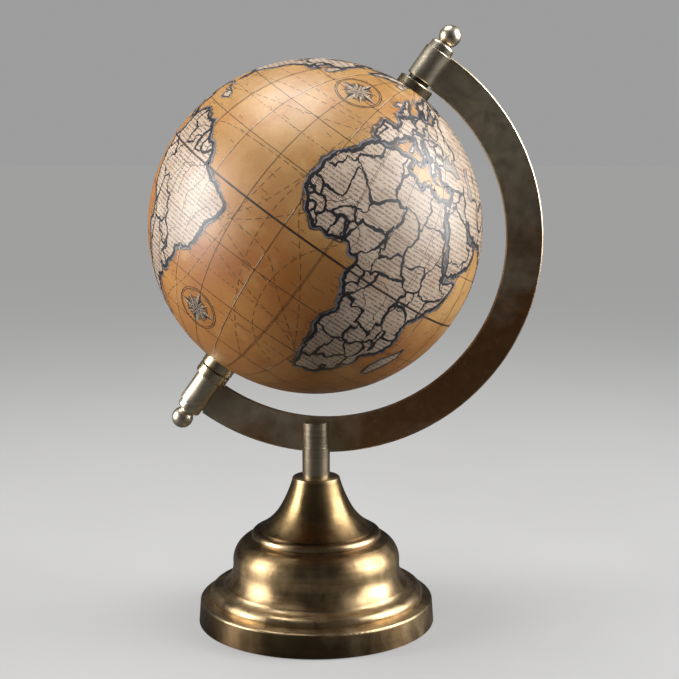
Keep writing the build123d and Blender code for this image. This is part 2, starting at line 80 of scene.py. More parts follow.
COASTS = """
africa: -5.9,35.8 -2.2,35.1 -1,35.7 3,36.9 7,37 9.8,37.3 11,37 10.6,35.7 10.1,34.3 11.1,33.2 13.2,32.9
15.2,32.3 15.7,31.4 18,30.6 19.6,30.4 20.1,31.2 20.2,32.2 21.6,32.9 23.1,32.6 25,31.7 27.5,31.1 29,30.8
30.4,31.5 32,31.3 32.6,30 33.5,28.2 34,26.7 35.5,24 35.6,23 37.2,21 37.3,19 38.5,18 39.5,15.6 41.2,14.6
42.7,12.5 43.2,11.5 44.3,10.4 47,11.1 51.2,11.9 51,10.4 50,8 48,4.5 46,2.5 43.5,0.3 41.5,-1.8 40.2,-2.8
39.2,-4.7 38.8,-6.4 39.5,-7.2 39.3,-8.5 40.5,-10.8 40.7,-15 39,-16.9 36.9,-17.9 34.9,-19.9 35.5,-22.2
35.4,-24 32.9,-25.5 32.8,-27.5 31,-29.8 28.3,-32.8 25.7,-34 22,-34.2 20,-34.8 18.4,-34.1 18.3,-32.5 17,-29.5
15.2,-26.8 14.4,-22.7 12,-18.2 11.8,-16 13.6,-12.3 13.2,-9 12.2,-6 11,-3.9 9,-1 9.6,1.2 9.8,3.2 9,4.3
8.2,4.6 6,4.3 4.5,6.2 2.5,6.4 1,5.9 -2,4.8 -4,5.2 -7.6,4.4 -9.3,5.6 -11.4,6.8 -13.1,8.4 -13.3,9.4 -15,10.9
-16.7,12.4 -17.4,14.7 -16.5,16.5 -16.2,19 -17,21 -16,23.5 -14.5,26.1 -13,27.7 -11,28.8 -9.7,30 -9.8,31.5
-8.5,33.3 -6.8,34.1;
eurasia: -5.6,36 -2,36.8 -0.6,38 0.2,38.8 -0.2,39.6 0.8,40.8 3.2,41.9 3.1,43.1 4.6,43.4 6.5,43.1 8.9,44.4
10.3,43.3 12.3,41.7 14.2,40.8 15.7,40 16.2,38.8 15.7,37.9 16.5,38.4 17.1,39 16.8,40.4 18.5,40.1 16,41.5
16.1,41.9 14,42.8 13.5,43.6 12.3,44.5 12.5,45.5 13.7,45.6 13.9,44.8 15.2,44.2 17.5,42.9 19.4,41.8 19.4,40.4
20.8,38.8 21.3,37.5 21.7,36.8 23.2,36.4 22.8,37.5 24,37.7 23,39 22.7,40.5 24,40.2 26.1,40.2 26.2,39.4
27,38.3 27.4,37 28.5,36.7 30.6,36.8 32.5,36.1 34.5,36.7 36,36.8 35.8,35.2 35,33 34.3,31.3 32.4,31.2 32.6,30
33.6,28 34.3,27.8 34.9,29.4 35,28.1 37,25.5 38.9,22.3 39.2,20.8 41,18.5 42.6,16.5 43.3,12.8 45,12.8 48.5,14
52,15.7 55.2,17.5 57.7,19 59.8,22.4 58.5,23.7 56.4,25.8 56,24.2 54.3,24.2 51.5,24.5 51.3,26 50.2,26.5
48.8,28.5 48.2,30 50.2,30 51.5,27.9 54.5,26.6 57,27 57.6,25.7 61.5,25.1 66.5,25.3 67.5,23.8 69,22.3
70.5,20.8 72.6,21.3 72.8,19 73.8,16 74.8,13 76.3,10 77.5,8.1 79,9.3 79.9,11 80.2,13.5 80.1,15.5 82.2,16.7
85,19.5 87,21.4 89,21.8 91.5,22.8 92.3,20.7 94.3,18 94.3,16 96.5,16.8 97.7,15 98.6,12 98.4,8 100.4,6 101.4,3
103.5,1.3 104.2,1.6 103.4,4 102,6.2 100.3,8.5 99.3,10 100,13.3 102,12.3 103.7,10.5 105,8.7 106.8,10.3
109.2,11.8 109,14 107,16.9 105.8,19 107,21 108.3,21.5 110,20.3 110.5,21.3 114,22.3 117,23.5 119.5,25.8
121.7,28.5 121.8,31 120.5,33.5 119.3,35 122.4,37.2 119,37.4 117.8,38.8 121,40.8 121.3,39 124,40 125.3,38.5
126.7,37.5 126.4,34.6 129.2,35.3 129.3,37.3 127.5,39.5 129.8,41.5 132,43.2 135.5,44.5 138.5,47 140.4,50
141.3,53 138.5,54 137,54 135.2,54.8 138.5,56.5 142.5,59.2 149,59.6 154.5,59.4 156.7,61.6 160.3,61.8
163.7,62.5 161.9,60.4 159,58.4 156.9,57 155.7,54.5 156.7,51.2 158.5,53 160,54.5 162,56.2 163.3,58 163.5,59.8
170.3,60 172.5,61 177.3,62.6 179.3,62.5 177.5,64.6 185,64.5 190,66 185,67 180,69 175.5,69.8 170.5,69.8
161,69.5 152.5,70.9 140,72.5 130,71.2 127,73 119,73.2 113.5,73.6 112,74.4 104.3,74.5 98.5,74.3 87,74.4
80.5,73.6 80.7,72 75,72.8 74,71 72.8,72.8 68.6,72.8 66.8,71 68,68.4 60,69.5 60.9,68.9 54,68.4 46.5,68
44,66.2 40.5,64.7 38,64 33.6,66.7 40.8,66.6 41,67.6 33,69.4 28.5,71 25.8,71.1 20,70 15,68.5 12.5,65.8
9.5,63.7 5,62 5.1,60 5.6,58.8 7.1,58 8.6,58.3 10.7,59.4 11.3,58.7 12.9,55.4 14.3,55.5 16,56.3 16.6,58.6
18.9,59.8 17.2,61.5 19,63.3 22.2,65.7 25.3,65 21.3,62.8 21.5,60.8 25,60.1 30,59.9 23.5,59.2 24.3,57.8
21.7,57.5 21,55.3 18.6,54.6 14.2,53.9 10.9,54.1 9.6,54.9 10.6,56.5 10.5,57.7 8.2,56.9 8.1,55.5 8.8,53.9
6.9,53.4 4.7,53 3.4,51.4 1.6,50.9 0.1,49.5 -1.6,49.6 -1.5,48.7 -4.7,48.4 -2.5,47.3 -1.2,46 -1.5,43.5 -4,43.4
-9.2,43.2 -8.8,41 -9.4,38.7 -8.9,37 -6.4,36.8;
north_america: -168,65.7 -161.5,66.3 -166.5,68.3 -156.5,71.3 -141,69.7 -128,70.2 -124,69.8 -115,68.8 -108,68
-101,67.8 -95,68 -94,71.8 -90,69 -87,67.5 -81.5,68 -82,66.5 -87,64.5 -93.5,61.8 -94.7,58.8 -92.5,57 -85,55.3
-82.3,52.9 -80,51.3 -79,52.5 -79,54.6 -76.6,57.2 -78.3,59 -77.5,62.4 -73.5,62.3 -70,61 -69.5,59 -67,58.4
-65,60 -62.5,58 -60,55.2 -57,52.4 -55.7,52.2 -60,50.2 -66,50.2 -70.5,47.5 -65,49.1 -64.6,47.8 -64.8,46.2
-61.5,45.7 -61.2,45.3 -65.7,43.5 -65,45.3 -67,44.6 -70.2,43.5 -70.8,42.5 -70,41.8 -73.8,40.6 -74.8,39.3
-75.9,37.1 -76,35.2 -78,33.9 -81.2,31.5 -80.1,26.8 -80.5,25.2 -81.8,26.3 -82.8,28 -84,30 -86,30.3 -89.3,30.2
-89.4,29.2 -91.5,29.5 -94.8,29.3 -97.2,27.7 -97.7,24.5 -97.6,22 -96,19 -94,18.2 -91.8,18.5 -90.6,20
-90.3,21.1 -87,21.5 -87.7,19 -88.3,17.6 -88.7,15.8 -86,16 -83.3,15 -83.7,12.3 -83.5,10.5 -81.5,9 -79.6,9.6
-77.4,8.6 -77.9,7.3 -79.5,8.9 -80.4,7.4 -82.9,8.1 -83.7,8.8 -85.8,10 -87.6,12.9 -91.5,14 -94.5,16.2
-97.8,15.9 -101.8,17.7 -105.5,20.2 -105.5,22.5 -109.3,25.8 -112.5,29.8 -114.7,31.6 -113,28.8 -111,25.5
-109.5,23 -112.2,25 -114.8,27.8 -115.8,30.3 -117.2,32.7 -118.5,34 -120.6,34.6 -122.5,37.5 -124.3,40.4
-124.2,43 -124.7,48.3 -122.8,49 -127.5,51 -130.3,54.5 -133.5,57.5 -137,58.8 -140,59.8 -146,60.8 -151.5,59.5
-152,61 -154,59.3 -158.5,56 -164.8,54.7 -162,56 -157.7,58.2 -162,59.8 -166,61.7 -161,64.3 -166.3,64.6;
south_america: -77.4,8.6 -75.5,10.6 -74.8,11 -71.7,12.4 -71.3,11 -71.6,10 -70,12 -68,10.6 -64.5,10.2
-62,10.7 -60.9,9 -58.5,7.8 -57,6 -54,5.8 -51.6,4.2 -50,1.5 -50.5,0 -48.4,-0.8 -44.5,-2.6 -41.5,-2.9
-38.5,-3.7 -35.4,-5.2 -34.8,-7.2 -35.2,-9.3 -37,-11.3 -38.5,-13 -39,-17 -39.7,-19.6 -41,-22 -43.2,-23
-46.3,-24 -48.6,-26 -48.8,-28.5 -50.3,-30.5 -52.2,-32.3 -53.5,-34 -56.2,-34.9 -58.2,-34 -57.2,-36
-57.6,-38.1 -62.2,-38.9 -62.3,-40.9 -65,-41 -63.7,-42.7 -65.4,-45 -67.4,-46 -65.8,-47.8 -68.9,-50.5
-68.4,-52.4 -65.2,-54.7 -68.5,-55.2 -72,-54 -74.5,-51 -75.6,-47 -73,-43 -73.8,-41 -73.4,-38 -72.2,-34
-71.4,-30 -70.3,-23 -70.4,-18.4 -72.5,-17 -76.3,-14 -77.2,-12 -79,-8.2 -81.2,-6 -80.3,-3.4 -81,-1 -80,0.8
-78.8,1.5 -77.2,3.8 -77.5,7 -77.9,7.3;
antarctica: -150,-74.5 -135,-74.3 -110,-74 -100,-72.5 -85,-73 -73,-71.5 -68,-67.5 -60,-63.8 -57,-63.3
-62,-68 -61,-74.3 -30,-74.5 -25,-74 -15,-72 0,-69.8 20,-69.8 38,-69 50,-66.6 60,-67.4 72,-69 80,-67.5
95,-66.4 110,-66 125,-66.5 140,-66.7 150,-68.5 165,-71 170,-73.5 170,-74.6 120,-74.6 60,-74.6 0,-74.6
-60,-74.6 -110,-74.6;
australia: 114,-22 113.7,-26 115.7,-31.7 115,-34.2 118,-35 123.7,-33.9 129,-31.6 134,-32.7 136,-34.8
137.9,-33 138.2,-35.6 140.6,-38 144.7,-38.2 146.4,-39 150,-37.3 151.3,-33.5 153.4,-29 153.2,-25 149.5,-21.6
146,-18.9 145.2,-15 142.5,-10.8 141.6,-14.5 140.8,-17.5 137.5,-16 135.5,-14.8 136.8,-12.2 132.5,-11.3
130.4,-12.8 129.2,-15 126,-14 122.2,-17.8 117,-20.7;
greenland: -45,60 -42.5,62.5 -40,65.3 -33,68 -24,70.3 -21,73 -20,74.5 -58,74.5 -55,71.5 -52,69 -53.5,67
-52,64.2 -48.5,61;
iceland: -22.5,64 -18.5,63.4 -13.8,64.8 -16,66.5 -22.5,66.4 -24,65.5;
britain: -5.5,50.1 -1,50.7 1.4,51.2 1.7,52.7 0.2,53 -1.4,54.6 -2,57 -1.9,57.6 -3.8,57.8 -3.1,58.6 -5,58.6
-5.8,57 -4.9,54.8 -3,54 -4.6,53.3 -4.2,52.4 -5.2,51.8 -2.9,51.4 -4.4,51.1;
ireland: -6.1,52.2 -6,53.5 -5.6,54.6 -7.4,55.3 -10,54.2 -9.5,53 -10.3,51.8;
arctic_island: 52,71 56,73.5 66,74.5 68,74 58,73 57.5,70.8;
sardinia: 8.2,39 8.2,41 9.6,41 9.6,39.2;
corsica: 8.7,41.6 9,42.9 9.5,42.2;
sicily: 12.4,38 15.5,38.2 15.1,36.7;
crete: 23.6,35.5 26.2,35.2 24.8,35;
cyprus: 32.4,34.8 33.5,35.4 34.3,35.6 33.6,34.8;
madagascar: 49.3,-12 50.4,-15.8 49,-19 47.2,-25 45,-25.5 43.5,-22 44.4,-17.5 46.5,-15.7;
ceylon: 80,9.7 81.8,7.3 80.6,6 79.8,7.5;
sumatra: 95.3,5.6 100.3,2 104,-2 106,-5.8 102.3,-4 98.5,1.5;
java: 105.3,-6.8 108.5,-6.7 112.7,-6.9 114.4,-8.6 108,-7.8;
borneo: 109,1.5 111.5,2.5 116.8,7 119,5 117.8,1 116.3,-3.8 110.2,-2.9;
celebes: 119.5,-5.5 120.9,-3 122.8,-4.5 121.5,-1 124.8,1.5 120.2,1 119,-3;
new_guinea: 131,-0.8 134.2,-0.8 135.5,-3.3 141,-2.6 147.5,-6 150.5,-10.5 146.5,-8.9 143,-9 138.8,-8.2
138,-5.5 133,-4;
luzon: 120.3,16 121,18.6 122.3,18.4 121.7,15 124,12.7 120.6,13.9;
mindanao: 122,7 123.5,8.7 125.6,9.6 126.4,7.5 125.4,5.7;
formosa: 120.1,23 121.6,25.2 120.8,22;
hainan: 108.7,19.2 110.8,20 109.7,18.2;
honshu: 130.2,31.4 131.9,33.5 135,33.6 139.8,35 141,38.5 141.4,41.4 139.9,39.8 137,37.2 132.5,35.4 130,33.3;
hokkaido: 140,42 143.3,42 145.5,43.3 142,45.4;
sakhalin: 142,46 143.5,49.3 143,54.2 142,52;
tasmania: 144.7,-40.7 148.3,-41 147.5,-43.4 145.5,-42.8;
new_zealand_north: 172.8,-34.5 175.5,-36.7 178.4,-37.7 176.8,-40 174.8,-41.4 173.8,-39.3 174.6,-37.5;
new_zealand_south: 172.7,-40.5 174.2,-41.8 171,-44.3 170.5,-46 168.4,-46.6 166.5,-45.8 170.2,-42.9;
cuba: -84.9,21.9 -82.5,23.1 -79,22.6 -75,20.8 -74.2,20.2 -77.6,19.9 -78.3,21.3 -82,22.4;
hispaniola: -73.5,19.9 -70,19.7 -68.4,18.6 -71.5,17.7 -74.4,18.4;
newfoundland: -59.3,47.7 -55.5,51.5 -53,48 -53.5,46.7;
baffin: -61.5,66.5 -68,63 -78,64.5 -73,67.5 -89,71.5 -80,73.7 -68,70.3;
victoria_land: -117,69.5 -105,69 -105,73 -118,72.5;
banks_land: -125.5,72 -119,71.5 -123,74.2;
falklands: -61,-51.8 -58,-51.4 -59.5,-52.3
"""

LAKES = """
black_sea: 28.1,41.6 28,43.5 29.7,45.2 31,46.6 33,46.1 32.6,45.4 33.6,44.4 35.4,45.1 35,46.2 39.2,47.2
37.5,46.6 37.6,45.2 39.5,43.6 41.5,42 41.2,41.4 38,41 35.1,42 33,42 31.4,41.3 29.2,41.2;
caspian: 47.5,45.5 47.5,43 50,40.3 49,38.5 49.3,37.5 52,36.7 54,37.4 53.8,39.2 52.8,41.2 51,44.6 53,46.8
49,46.5;
aral: 58.3,44 60,46.3 61.5,45 59.5,43.5;
baikal: 104,51.6 109.8,55.4 109.5,54 106,51.9;
ladoga: 30.8,60 31,61.5 32.8,61;
victoria: 31.8,-1 32.3,0.3 34,0.2 34.2,-1 33,-2.5 31.9,-2.3;
tanganyika: 29.2,-3.5 29.5,-6 30.8,-8.5 31,-7.8 29.8,-5.5 29.5,-3.4;
malawi: 34,-9.7 34.4,-12 34.6,-14.2 35.2,-14 34.8,-11.8 34.5,-9.8;
chad: 13.2,13 14,14.2 15.2,13.4 14.3,12.7;
superior: -92,46.7 -88.5,48.7 -84.6,46.6 -88,46.9;
michigan: -87.7,42 -86.3,45.8 -84.8,45.7 -86.5,43.5;
huron: -84,46.1 -80,45.4 -82,43.2 -83.4,44.6;
erie: -83.3,41.7 -79,42.8 -80.5,42.6;
winnipeg: -96.8,50.5 -98.8,53.6 -97.5,53.2;
slave_lake: -116,61.2 -110,62.8 -112.5,61.2;
bear_lake: -124.5,66 -118.5,66.8 -120.5,65.2;
titicaca: -70,-15.3 -69,-16.4 -68.8,-15.8
"""

BORDERS = """
-2.2,35.1 -1.7,33 -1.2,32.1 -3.5,31 -5.5,29.9 -8.7,28.7 -8.7,27.3; -8.7,27.3 -8.7,26 -12,26 -12,23.4 -13,23
-13.1,21.3 -17,21.3; -8.7,27.3 -4.8,25; -4.8,25 -6.5,25 -5.7,20 -5.3,16.3 -5.5,15.5 -9.3,15.4 -11.5,15.6
-12.2,14.8; -12.2,14.8 -14,16.2 -16.4,16.1; -12.2,14.8 -11.4,12.4 -13.7,12.6 -16.7,12.4;
-16.7,13.4 -13.9,13.4;
-13.7,12.6 -13.7,11.7 -15,10.9; -11.4,12.4 -9.5,12.3 -8,11 -8,10.2 -7.9,8.5 -9.4,7.4; -13.2,9.1 -12.5,9.9
-11.2,10 -10.4,8.5 -11.4,6.9; -10.4,8.5 -9.4,7.4 -8.5,7.5 -8.4,6.5 -7.5,5.9 -7.6,4.4; -8,10.2 -5.5,10.4
-2.8,9.7 -2.7,8 -3.2,6.3 -3.1,5.1; -5.5,10.4 -4.4,12.7 -1.9,14.3 0.2,15; -2.8,9.7 -2.8,11 0,11 0.4,9.5
0.6,6.9 1.2,6.1; 0,11 0.8,11 1.4,9.4 1.6,6.2; 2.7,6.4 2.7,9 3.6,11.7; 0.2,15 1,13.5 2.4,12 0.8,11;
2.4,12 3.6,11.7 4.2,13.5 7,13 10,13.3 13.5,13.7; 0.2,15 3.5,15.4 4.2,16.4 4.2,19.1 1.2,21.1 -4.8,25;
4.2,19.1 5.8,19.5 12,23.5 14.2,22.6 15.9,23.4; 8.6,36.9 8.3,35 7.5,33.8 9,32.1 9.5,30.2 9.9,27 9.4,26.1
10.3,24.5 12,23.5; 9.5,30.2 11.5,32.4 11.6,33.2; 15.9,23.4 24,19.5 24,20 25,20 25,22 36.9,22; 25,31.7 25,22;
15.9,23.4 15.5,17 13.5,14.4 13.5,13.7; 13.5,13.7 14.2,12.5 13.2,9.6 11.1,6.6 9,6 8.5,4.8; 14.2,12.5 15,11
15.5,10 14,9.8 15.5,7.5 18.9,8.8 22.9,11; 15.5,7.5 14.5,6.2 15,4 16.2,2.2; 9.8,2.3 13.3,2.2 16.2,2.2
16.5,3.5 18.6,4.3; 24,19.5 24,15.7 22.5,14 22.9,11 24,8.7 27.4,5.1; 18.6,4.3 22.5,4.1 27.4,5.1 30.8,3.5;
24,8.7 28,9.4 32.3,11.7 33.9,9.5 34,8; 34,8 34.3,10.6 36.3,12.8 36.5,14.3 37.9,17.5 38.6,18; 36.5,14.3
40,14.5 42.4,12.5 41.8,11 43.2,11.5; 41.8,11 42.9,10.6 44,9 47,8 48,8 45,5 42,4.2 39.5,3.5 36,4.4
35.3,5.5 34,8; 42,4.2 41,3 41,-0.9 41.6,-1.7; 35.3,5.5 34,4.2 30.8,3.5 31.3,2.2 29.9,0.6 29.6,-1.4 30.8,-1
34,-1 34,0.2 35,1.9 34,4.2; 34,-1 37.7,-3.1 39.2,-4.7; 30.8,-1 30.8,-2.4 29.3,-4.4 29,-2.7 29.6,-1.4;
29.3,-4.4 29.5,-6 30.8,-8.3 32.9,-9.4 34.6,-9.6 34.6,-11.6 40.4,-10.5; 32.9,-9.4 33.3,-12.5 32.7,-13.7
34.5,-14.6 35.3,-17.1 35.8,-15.8 34.6,-11.6; 30.8,-8.3 28.5,-8.5 28.6,-11.8 29.8,-12.2 29.8,-13.4 27,-12
24,-11 22,-11.2 21.8,-7.3 19.5,-7 17.5,-8.1 16.6,-5.9 13,-5.9 12.3,-6; 13,-5.9 15,-4.4 16.2,-2.2 18,0
18,2.5 18.6,4.3; 11.1,-3.9 11.8,-2.5 14.4,-1.9 14.2,1.2 13.3,2.2; 24,-11 24,-13 22,-13 22,-16.2
23.4,-17.6 21.5,-18 14,-17.4 11.8,-17.3; 23.4,-17.6 25.3,-17.8 27,-17.9 28.8,-16 30.4,-15.6 32.7,-13.7;
25.3,-17.8 21,-18.3 21,-22 20,-22 20,-28.4 16.5,-28.6; 20,-24.8 20.7,-26.8 22.7,-25.4 25.6,-25.6
26.9,-23.7 29.4,-22.2 31.3,-22.4 32,-25.6 32.1,-26.8 32.9,-26.8; 25.3,-17.8 27.7,-20.5 29.4,-22.2;
31.3,-22.4 32.4,-21.3 33,-19 32.8,-16.7 30.4,-15.6; 27,-29.6 28.6,-28.6 29.4,-29.8 28,-30.6 27,-29.6;
-8.9,41.9 -6.2,41.6 -7,39 -7.4,37.2; -1.8,43.4 3.2,42.4; 2.5,51 4.2,50 6.1,49.5 8.2,49 7.6,47.6 6,46.3
7,45.9 6.9,44.3 7.5,43.8; 3.4,51.4 6,51.2 6.1,49.5; 6,51.2 7.1,52.3 7.2,53.3; 8.7,54.9 9.9,54.8;
14.2,53.9 14.8,51 12.2,50.3 13.8,48.8 13,47.6 9.6,47.6 7.6,47.6; 7,45.9 9.6,46.4 10.5,46.8 13.7,46.5
13.6,45.6; 14.8,51 18.8,49.5 22.6,49.1 24,50.8 23.6,53 22.8,54.4 19.6,54.4; 16.1,48.8 17.1,48
16.1,46.9 13.7,46.5; 17.1,48 20,48.2 22.9,48 26.6,48.2 28.2,45.5; 22.9,48 20.3,46.1 22.7,44.5 28.5,43.8;
20.3,46.1 16.1,46.9; 22.7,44.5 22.4,42.3 23,41.3 26.3,41.7 28,42; 23,41.3 20.9,40.9 20,39.7;
20.9,40.9 20.4,42.2 19.4,41.9; 28.2,59.4 27.5,57.5 28.2,56 31,54 31,52 34,51.7 38,49.9 38.3,47.2;
27.8,60.5 31.5,62.8 29.5,66.8 28.5,68.9 30.8,69.8; 11.2,59 12.2,61.5 12.2,63.5 14.5,66.3 20.5,69 25.8,69.7
28.5,68.9; 20.5,69 24.1,65.8; 44.8,39.7 44.8,37.2 42.3,37.1 36.7,36.8 36,35.9; 42.3,37.1 41,34.4 38.8,33.4
35.8,33; 38.8,33.4 39.2,32 37,31.5 38,30.5 36,29.2 35,29.4 35.5,31.5 35.7,32.7; 39.2,32 42,31.1 46.5,29.1
48.4,28.5; 44.8,37.2 46,33.8 48.5,30; 42.8,16.4 44,17.4 52,19 55,20 55.2,22.7 52,23 51.6,24.2;
52,19 53,16.6; 61.2,36.5 60.9,31.5 61.8,30.8 63.3,27.2 61.6,25.2; 54,37.4 57,38.2 61.2,36.5 66.5,37.4
71,38.4 74.9,37.2 69.3,31.9 66.3,29.9 61.9,29.4; 68.2,23.7 71,24.4 70,27.8 74.5,31 74.5,33 77.9,35.4
79,32.5 81,30.2 88,27.9 92,27.7 97,28.2 98.7,24 97.5,23.9; 74.9,37.2 73.8,39.7 80.2,42 80.3,45 87.3,49.1
92,50.8 98,50.2 106,50.3 116.7,49.9 119.8,52.8 125.7,53 127.5,50 130.9,47.8 134.7,48.3 131,45 131,42.9;
87.3,49.1 91,45.2 96.3,42.8 105,41.6 111.8,43.7 119.8,46.8 116.7,49.9; 98.7,24 101.2,21.3 102.2,22.4
106.7,22 108,21.5; 102.2,22.4 104.8,19.5 107.5,15 107.5,12.4 104.5,10.4; 98,19.8 98.9,16.3 99.5,11.7;
101.2,21.3 100.4,20.3 101,17.6 105.7,15.3 105,14.3 102.5,13.6 102.9,11.7; 100.4,20.3 98,19.8 97.5,18.5;
126.7,37.8 128.4,38.6; 124.4,40 130.6,42.4;
-122.8,49 -95.2,49 -89,48 -83,46.1 -82.5,42.5 -79,43.4 -74.7,45 -71.4,45.2 -69.2,47.4 -67.8,45.7 -67,44.9;
-117.1,32.5 -114.8,32.5 -111,31.3 -106.5,31.8 -103,29 -101,29.8 -99.2,26.5 -97.2,25.9; -141,69.7 -141,60.3
-137,58.9 -133,57 -130,56; -92.2,14.6 -91,16 -91,17.8 -89.1,17.8 -88.3,18.5; -71.4,11.8 -72.4,8.4 -70,7
-67.5,6.2 -67,1.2 -69.9,-4.2 -73,-6 -74,-7.5 -70.5,-9.5 -69.5,-11 -65.4,-9.7 -65.2,-12 -60.2,-13.7
-60.2,-16.3 -57.8,-18 -58.2,-20.2 -55.7,-22.4 -54.3,-24 -54.6,-25.6 -53.8,-27.2 -57.6,-30.2 -55,-31
-53.4,-33.7; -67,1.2 -63.4,2.2 -64.2,4.2 -60.7,5.2 -59.8,8.3; -60.7,5.2 -60,1.5 -58.8,1.3 -56,2 -54,2.3
-51.7,4; -57.2,6 -58,4 -56.5,2; -54,5.7 -54.2,2.3; -78.8,1.4 -75.3,-0.1 -78.4,-3.4 -80.3,-3.4;
-75.3,-0.1 -69.9,-4.2; -69.5,-11 -69,-15.5 -69.5,-17.5 -70.4,-18.3; -69.5,-17.5 -68.3,-20 -67.2,-22.8
-62.7,-22 -58.2,-20.2; -62.7,-22 -57.7,-25.3 -58.6,-27.3 -55.8,-27.4 -54.6,-25.6; -67.2,-22.8 -68.5,-27
-70,-30 -70,-34 -71.3,-38.5 -71.8,-44 -73.3,-50 -72,-52 -68.4,-52.3; -57.6,-30.2 -58.2,-33.9;
129,-14.9 129,-31.6; 138,-16.5 138,-26; 129,-26 141,-26 141,-38; 141,-29 149,-29 153.3,-28.2;
141,-34 147,-36 150,-37.5
"""

RIVERS = """
31.2,31.4 30.9,30 31,27 32.8,25 33,22 30.6,19.3 32.5,18 34,17 33,15.8 32.5,13 32.7,10 30.5,9.3 31.6,5
31.5,2.5 33,0.5; 32.5,15.6 34.4,12 36,10.2 37.4,11.6; 6,4.4 6.7,7.5 4,11.5 0,16.8 -3,16.6 -5,14.3
-8,12.5 -10.5,9.5; 12.4,-6 15.3,-4.3 17,-1 18.4,1.8 23,1.8 25.2,0.5 26,-4 27,-8 26.5,-11; 36.2,-18.8
32,-16 28.8,-16.5 25.8,-17.9 23,-15 23.5,-12; 16.5,-28.6 20,-28.5 23,-29.3 27,-30.5; 17,-1 17.5,-3
20.5,-5 20,-9; -16.5,16 -13,15.5 -11,13.5; 43,0 42,4 38,6; -50,-0.5 -54,-2 -60,-3.2 -66,-2.5 -70,-4.2
-74,-4.5 -76.5,-9; -60,-3.2 -63,-8 -65,-11; -54,-2 -57,-7 -56,-12; -48.5,-1 -49,-6 -51,-11 -49,-16;
-58.4,-34 -60.5,-31.5 -58.7,-27.3 -54.5,-25.5 -53,-22 -50.5,-20; -36.4,-10.5 -40,-9 -43.3,-12.5
-44.8,-17; -61,9 -65,7.8 -67.5,6 -67.8,3; -89.3,29.2 -91.2,31.5 -90,35 -89.3,37.5 -91.2,41
-93.5,45.5 -95,47.5; -90.3,38.8 -95,39.5 -97,43 -101,46.5 -108,48 -111,46; -66,49.5 -70.5,47.3
-74,45.3 -76.5,44.1; -134.5,69 -130,66 -124,63 -117,61 -112,57; -164,62.8 -158,64 -150,65.5
-141,64.8 -136,62.5; 29.6,45.2 27.8,44 22.5,44.2 19,45.5 18.9,48 15,48.3 11,48.8; 4.3,52 7,51.2
8.3,49.5 7.7,47.7; 47.5,45.9 45,48.5 46.5,51.5 49.5,53.5 47,56 40.5,57.5 35.5,56.8; 39.3,47.2 43,48.7
40,51 38.6,53.2; 31.8,46.5 35,48.2 31,50.5 30.5,53.5; 69,68 66,65 69,61 76,60.5 82,57.5 85,52.5;
83,71 87,66.5 89.5,61.5 92.8,56 94,52; 127,72.5 123.5,66.5 129.5,62.5 120,60.3 108,54.2; 140.5,53
137,50.2 131,47.8 127.5,50.2 121.5,53.3; 118.8,37.8 114.5,35 110.3,34.8 111,39.5 107.5,40.7
104.5,37.5 101,35; 121.5,31.6 117,31 113.8,30 111,30.5 106.5,29.5 102.5,26.3 99,28 97,32; 90,22.5
88,25 83,25.3 80,27 78.2,30; 67.5,24 68.5,27.5 71,30.5 73,34.5 77,34.2; 106.5,9.8 105,13 105.8,15.5
102,18 100.5,21; 48.3,30 46,32.5 43.5,35.5 41,37.4; 47.5,31 44,32 40.5,35 38.5,37.5; 139.3,-35.4
142,-34.1 146,-36
"""

SEA_ROUTES = """
-5.9,35.9 -9.5,37 -20,33 -40,28 -60,24 -74,21.5; -9,50 -30,50 -50,44 -70,41; -5,48 -10,43.5 -17.5,28
-18.5,15 -14,5 -2,-8 9,-24 18,-34.5; -18.5,15 -25,0 -33,-7.5 -38,-15 -42,-23.5; 17.5,-34.5 0,-33 -28,-34
-50,-34.5; 12,-28 -6,-16 -14,-8 -33,-7; -18.5,14 -35,14 -55,13 -61,11; 32,-29 45,-20 52,-5 60,8 70,18;
52,-5 65,3 79,6; 80,5 95,6; 18.5,-35 40,-38 80,-37 115,-34.5; -75,36 -40,38 -9,38.7; -12,6 -24,-4 -34,-9;
-27,12 -30,-5 -33,-20 -40,-34 -52,-42 -66,-55; 2,4 -7,-5 -10,-20 -4,-34 14,-40; -19,12 -21,0 -20,-16
-12,-34 0,-46; -38,-15 -20,-20 0,-24 14,-29; -35,-9 -22,-14 -6,-16; -80,28 -60,32 -30,36 -8,38;
-79,8 -95,2 -120,-5 -150,-15 -175,-22; -73,-37 -100,-30 -140,-22 -172,-18; -122,37 -150,38 -178,34;
-122,36 -140,30 -158,21; 140,35 160,40 178,42; 151,-34 165,-36 174,-37; 104,1 110,8 114,21;
115,-33 100,-20 90,-5 82,5; 49,-14 60,-20 58,-30; -66,-56 -40,-58 0,-57 40,-55 80,-55
"""

ROSE_PLACES = [(-30, 47), (-30, -39), (-150, 40), (-115, -38), (78, -32), (165, 25)]


def as_line(text):
    """A row of longitude,latitude pairs as an array."""
    return np.array([[float(value) for value in pair.split(",")] for pair in text.split()])


def as_lines(text):
    """Every line of a list with semicolons between its lines. A name before a colon is only a label."""
    return [as_line(part.split(":")[-1]) for part in text.split(";") if part.strip()]


# ---- drawing on the ball --------------------------------------------------------------------------------


def on_ball(line, rise):
    """Where longitudes and latitudes fall on the ball, in the axle's frame."""
    turn = np.radians(line[:, 0] + map_turn)
    lift = np.radians(np.clip(line[:, 1], -map_edge, map_edge) * map_stretch)
    flat = np.cos(lift)
    direction = np.stack([flat * np.sin(turn), -flat * np.cos(turn), np.sin(lift)], axis=1)
    return (ball_radius + rise) * direction


def unit(rows):
    """Each row scaled to length one."""
    return rows / np.linalg.norm(rows, axis=1, keepdims=True)


